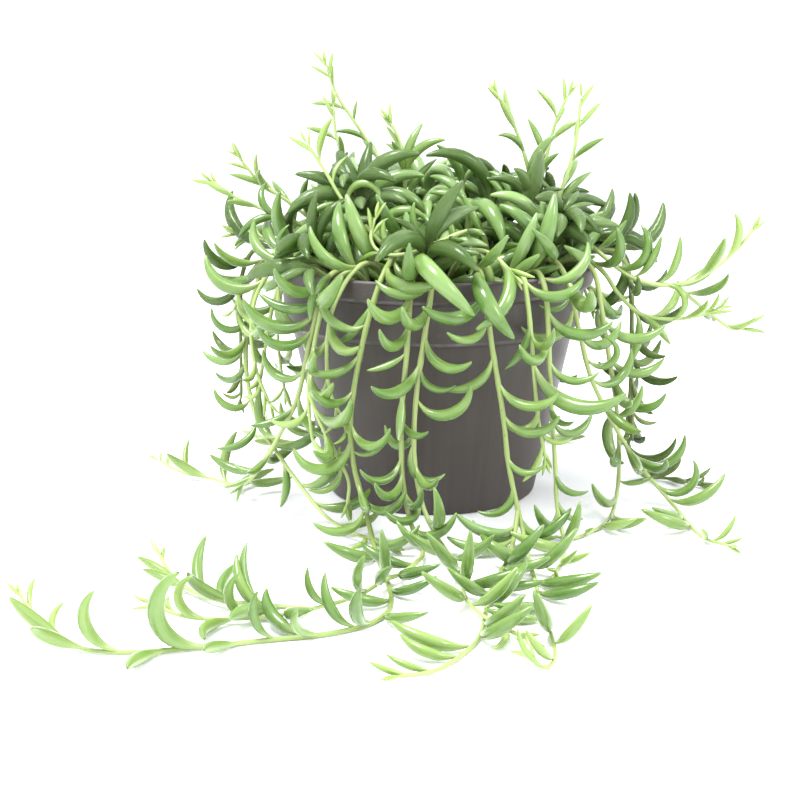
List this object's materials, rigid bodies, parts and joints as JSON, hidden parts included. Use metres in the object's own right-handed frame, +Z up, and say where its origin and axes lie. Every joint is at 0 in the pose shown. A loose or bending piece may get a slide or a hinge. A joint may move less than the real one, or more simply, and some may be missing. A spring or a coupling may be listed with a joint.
{
  "type": "potted string of bananas",
  "caption": "Trailing succulent with banana-shaped leaves in a round tapered plastic nursery pot, its stems hanging over the rim and lying on the surface around it.",
  "frame": {"origin": "centre of the pot's flat base, on the surface it stands on", "axes": "+Z up along the pot's axis, +X to the plant's right, -Y towards its front, where the longest stems run out along the surface"},
  "size_m": [0.2527, 0.3023, 0.1712],
  "materials": {
    "pot_plastic": "satin",
    "potting_soil": "matte",
    "mound_green": "satin",
    "trailing_green": "satin",
    "shoot_green": "satin"
  },
  "bodies": {
    "root": {"pot": "pot_plastic", "soil": "potting_soil", "arching_stem_right_1": "shoot_green", "arching_stem_right_2": "shoot_green", "mound_tuft_1": "mound_green", "mound_tuft_10": "mound_green", "mound_tuft_11": "mound_green", "mound_tuft_12": "mound_green", "mound_tuft_13": "mound_green", "mound_tuft_14": "mound_green", "mound_tuft_15": "mound_green", "mound_tuft_16": "mound_green", "mound_tuft_2": "mound_green", "mound_tuft_3": "mound_green", "mound_tuft_4": "mound_green", "mound_tuft_5": "mound_green", "mound_tuft_6": "mound_green", "mound_tuft_7": "mound_green", "mound_tuft_8": "mound_green", "mound_tuft_9": "mound_green", "shoot_back_left": "shoot_green", "shoot_centre": "shoot_green", "shoot_curled": "shoot_green", "shoot_front_left": "shoot_green", "shoot_front_right": "shoot_green", "shoot_left_1": "shoot_green", "shoot_left_2": "shoot_green", "shoot_left_3": "shoot_green", "shoot_mid_left": "shoot_green", "shoot_right_1": "shoot_green", "shoot_right_2": "shoot_green", "shoot_right_3": "shoot_green", "trailing_stem_back_1": "trailing_green", "trailing_stem_back_2": "trailing_green", "trailing_stem_back_3": "trailing_green", "trailing_stem_back_4": "trailing_green", "trailing_stem_back_5": "trailing_green", "trailing_stem_back_6": "trailing_green", "trailing_stem_back_7": "trailing_green", "trailing_stem_front_1": "trailing_green", "trailing_stem_front_2": "trailing_green", "trailing_stem_front_3": "trailing_green", "trailing_stem_left_1": "trailing_green", "trailing_stem_left_2": "trailing_green", "trailing_stem_left_3": "trailing_green", "trailing_stem_left_4": "trailing_green", "trailing_stem_left_5": "trailing_green", "trailing_stem_left_6": "trailing_green", "trailing_stem_left_7": "trailing_green", "trailing_stem_long": "trailing_green", "trailing_stem_right_1": "trailing_green", "trailing_stem_right_2": "trailing_green", "trailing_stem_right_3": "trailing_green", "trailing_stem_right_4": "trailing_green"}
  },
  "joints": []
}
